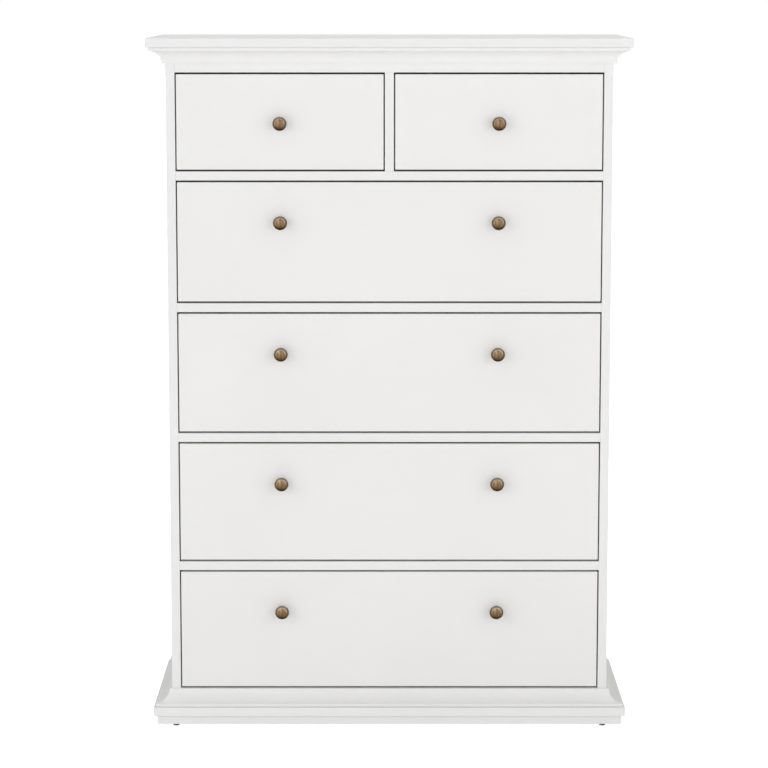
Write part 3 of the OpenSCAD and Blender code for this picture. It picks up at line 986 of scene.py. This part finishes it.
def build_channel(drawer, runners, right, steel, zinc):
    """Channel on the carcass: angle with a foot, a lip over the drawer's roller, three screws
    and the riveted axle of the front roller."""
    bm = bmesh.new()
    to_frame = runners.to_frame(right, runners.channel_y)
    quarter = BEND * math.pi / 2
    foot_run = CHANNEL_WIDE - SHEET / 2 - BEND
    web_run = CHANNEL_HIGH - SHEET / 2 - BEND
    end_s = foot_run + quarter + web_run
    outline = plate(end_s, 0, CHANNEL_LONG, 3, 4, 4, 3)
    web_s = end_s - CHANNEL_HIGH / 2
    holes = [slot_outline(web_s, y * MM, 4.5 * MM, 11 * MM) for y in (70, 190, 310)]
    holes += [circle(web_s, y * MM, 2.2 * MM, 16) for y in (105, 225, 285)]
    legs = [(foot_run, -math.pi / 2), (web_run, 0)]
    folded_sheet(bm, outline, holes, (CHANNEL_WIDE, SHEET / 2, math.pi, BEND, legs), SHEET, to_frame)
    lip_start = 32 * MM
    lip_run = 8 * MM - 2 * SHEET - BEND / 2
    leg_run = CHANNEL_HIGH - LIP_HIGH - SHEET / 2 - BEND
    outline = plate(lip_run + quarter + leg_run, lip_start, CHANNEL_LONG - 1 * MM, 3, 0.5, 0.5, 3)
    start_x = 1.55 * SHEET + BEND + lip_run
    legs = [(lip_run, -math.pi / 2), (leg_run, 0)]
    folded_sheet(bm, outline, [], (start_x, LIP_HIGH + SHEET / 2, math.pi, BEND, legs), SHEET, to_frame)
    first = len(bm.faces)
    axle_z = MEMBER_HIGH - ROLLER_PLAY - ROLLER_R
    axle = runners.inwards(right, runners.channel_y, SHEET / 2, 14 * MM, axle_z)
    rivet(bm, axle, AXLE_R, SHEET / 2 + AXLE_PLAY + ROLLER_WIDE["front"], 3.5 * MM, 1.0 * MM)
    for y in (37, 165, 325):
        place = runners.inwards(right, runners.channel_y, SHEET, y * MM, CHANNEL_HIGH / 2)
        screw(bm, place, 3.6 * MM, 1.0 * MM)
    paint_faces(bm, first, 1)
    name = f"{drawer}_channel_{'right' if right else 'left'}"
    make_piece(name, bm, [steel, zinc], "carcass", ["cabinet_runners"], 30.0)


def build_member(drawer, runners, right, steel, zinc):
    """Angle under a drawer's side: foot, web and the flange that rolls on the front roller,
    three screws up into the side and the riveted axle of the rear roller."""
    bm = bmesh.new()
    to_frame = runners.to_frame(right, runners.member_y)
    quarter = BEND * math.pi / 2
    foot_run = SIDE + SHEET / 2 - BEND
    web_run = MEMBER_HIGH - MEMBER_UP - 2 * BEND
    flange_run = ROOM - SHEET / 2 - BEND - FLANGE_PLAY
    end_s = foot_run + quarter + web_run + quarter + flange_run
    outline = plate(end_s, 0, MEMBER_LONG, 3, 5, 3, 3)
    foot_s = foot_run / 2
    web_s = foot_run + quarter + web_run / 2
    holes = []
    for y in (100, 220):
        holes.append(slot_outline(foot_s, y * MM, 4.2 * MM, 9 * MM))
        holes.append(circle(web_s, y * MM, 2.2 * MM, 16))
    legs = [(foot_run, -math.pi / 2), (web_run, math.pi / 2), (flange_run, 0)]
    path = (ROOM + SIDE, MEMBER_UP + SHEET / 2, math.pi, BEND, legs)
    folded_sheet(bm, outline, holes, path, SHEET, to_frame)
    first = len(bm.faces)
    axle_z = SHEET + ROLLER_PLAY + ROLLER_R
    point = to_frame(ROOM - SHEET / 2, MEMBER_LONG - 9 * MM, axle_z)
    axle = facing(point, (1 if right else -1, 0, 0))
    rivet(bm, axle, AXLE_R, SHEET / 2 + AXLE_PLAY + ROLLER_WIDE["rear"], 3.5 * MM, 1.0 * MM)
    for y in (40, 160, 290):
        point = to_frame(ROOM + SIDE / 2, y * MM, MEMBER_UP)
        screw(bm, facing(point, (0, 0, -1)), 3.4 * MM, 1.1 * MM)
    paint_faces(bm, first, 1)
    name = f"{drawer}_member_{'right' if right else 'left'}"
    make_piece(name, bm, [steel, zinc], drawer, [drawer + "_runners"], 30.0)


def roller_profile(width):
    """Closed section of a roller: rounded tyre, a shallow well on each side and a hub."""
    half = width / 2
    mm = half / MM
    side = [(2.0, mm), (3.4, mm), (3.6, mm - 0.7), (6.2, mm - 0.7), (6.5, mm)]
    side += [(7.3, mm), (7.8, mm - 0.25), (8.0, mm - 0.8)]
    mirrored = [(r, -h) for r, h in reversed(side)]
    return [(r * MM, h * MM) for r, h in side + mirrored + side[:1]]


def build_rollers(drawer, kind, material):
    """The two rollers of one pair, each its own piece on the pair's body."""
    node = f"{drawer}_{kind}_rollers"
    low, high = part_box(node)
    width = ROLLER_WIDE[kind]
    centre = (low + high) / 2
    for side, x in (("left", low.x + width / 2), ("right", high.x - width / 2)):
        bm = bmesh.new()
        place = Matrix.Translation((x, centre.y, centre.z)) @ Matrix.Rotation(math.radians(90), 4, "Y")
        rings = lathe(bm, roller_profile(width), 48, place)
        bmesh.ops.remove_doubles(bm, verts=rings[0] + rings[-1], dist=1e-7)
        make_piece(f"{drawer}_{kind}_roller_{side}", bm, [material], node, [node], 30.0)


def build_drawers(front, board, bottom, brass, steel, zinc, nylon):
    for drawer in SMALL_DRAWERS + WIDE_DRAWERS:
        dress_drawer(drawer, board, bottom)
        build_front(drawer, front)
        build_knobs(drawer, brass, zinc)
        build_drawer_fittings(drawer, zinc)
        runners = Runners(drawer)
        for right in (0, 1):
            build_channel(drawer, runners, right, steel, zinc)
            build_member(drawer, runners, right, steel, zinc)
        for kind in ("front", "rear"):
            build_rollers(drawer, kind, nylon)


# ---- studio ----


def build_floor():
    """Pale floor that shows white to the camera, with only the soft shadow left on it."""
    size = 40.0
    bm = bmesh.new()
    corners = [(-size, -size), (size, -size), (size, size), (-size, size)]
    bm.faces.new([bm.verts.new((x, y, 0)) for x, y in corners])
    mesh = bpy.data.meshes.new("studio_floor")
    bm.to_mesh(mesh)
    bm.free()
    floor = link("studio_floor", mesh)
    paint = Paint("studio_floor", roughness=0.9)
    grain = paint.noise(2.0, 3.0)
    tone = paint.mix(grain, (0.80, 0.80, 0.80, 1), (0.82, 0.82, 0.82, 1))
    paint.drive("Base Color", tone)
    paint.set(Specular_IOR_Level=0.0)
    seen = paint.node("ShaderNodeLightPath").outputs["Is Camera Ray"]
    paint.set(Emission_Color=(1, 1, 1, 1))
    paint.drive("Emission Strength", paint.span(seen, 0.0, 1.0, 0.14, 0.88))
    mesh.materials.append(paint.material)


def build_world():
    """White to the camera; as light, a grey room that is paler overhead and has a dark patch
    in front of the chest."""
    world = bpy.data.worlds.new("studio")
    world.use_nodes = True
    bpy.context.scene.world = world
    tree = world.node_tree
    room = tree.nodes["Background"]
    way = tree.nodes.new("ShaderNodeTexCoord").outputs["Generated"]
    parts = tree.nodes.new("ShaderNodeSeparateXYZ")
    tree.links.new(way, parts.inputs[0])
    total = tree.nodes.new("ShaderNodeMath")
    spans = (("Y", -0.95, -0.5, 0.06, 0.40), ("Z", 0.2, 0.8, 0.0, 0.26))
    for i, (axis, *limits) in enumerate(spans):
        level = tree.nodes.new("ShaderNodeMapRange")
        tree.links.new(parts.outputs[axis], level.inputs["Value"])
        for name, limit in zip(("From Min", "From Max", "To Min", "To Max"), limits):
            level.inputs[name].default_value = limit
        tree.links.new(level.outputs[0], total.inputs[i])
    tree.links.new(total.outputs[0], room.inputs["Color"])
    white = tree.nodes.new("ShaderNodeBackground")
    white.inputs["Color"].default_value = (1, 1, 1, 1)
    seen = tree.nodes.new("ShaderNodeLightPath").outputs["Is Camera Ray"]
    mix = tree.nodes.new("ShaderNodeMixShader")
    tree.links.new(seen, mix.inputs[0])
    tree.links.new(room.outputs[0], mix.inputs[1])
    tree.links.new(white.outputs[0], mix.inputs[2])
    tree.links.new(mix.outputs[0], tree.nodes["World Output"].inputs["Surface"])


def build_softbox(name, place, target, width, height, power):
    data = bpy.data.lights.new(name, "AREA")
    data.shape = "RECTANGLE"
    data.size = width
    data.size_y = height
    data.energy = power
    light = link(name, data)
    light.location = place
    way = Vector(target) - Vector(place)
    light.rotation_euler = way.to_track_quat("-Z", "Y").to_euler()


def build_lights():
    middle = (0.0, 0.0, 0.8)
    build_softbox("softbox_left", (-3.0, -3.2, 1.7), middle, 3.8, 3.0, 49.5)
    build_softbox("softbox_right", (3.0, -3.2, 1.7), middle, 3.8, 3.0, 49.5)
    build_softbox("softbox_front", (0.0, -7.0, 1.9), middle, 3.6, 2.6, 54.5)
    build_softbox("softbox_top", (0.0, 0.6, 3.3), (0.0, 0.1, 1.4), 2.0, 1.5, 20.0)


def build_camera():
    """Looks a little down at the fronts, with no lens shift, which would crop other views."""
    data = bpy.data.cameras.new("camera")
    data.sensor_width = 36.0
    data.lens = 129.4
    data.clip_start = 0.1
    data.clip_end = 200.0
    camera = link("camera", data)
    camera.location = (-0.0107, FRONT_Y - 5.5, 1.50)
    camera.rotation_euler = (math.radians(90 - 8.251), 0, 0)
    bpy.context.scene.camera = camera


def build_object():
    zinc = zinc_material()
    board = board_material()
    knob_low, knob_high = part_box("top_left_drawer_knobs")
    knob_out = FRONT_Y - knob_low.y
    brass = brass_material(FACE_R, (knob_high.z - knob_low.z) / 2, knob_out)
    dress_carcass(board)
    build_mouldings(moulding_material())
    build_glides(dark_plastic_material(), zinc)
    white_hardboard = white_hardboard_material()
    build_back(brown_hardboard_material(), white_hardboard, zinc)
    build_carcass_fittings(zinc)
    front = front_material()
    drawer_board = drawer_board_material()
    steel = epoxy_material()
    build_drawers(front, drawer_board, white_hardboard, brass, steel, zinc, nylon_material())


bpy.context.scene.view_settings.view_transform = "Standard"
build_object()
build_floor()
build_world()
build_lights()
build_camera()
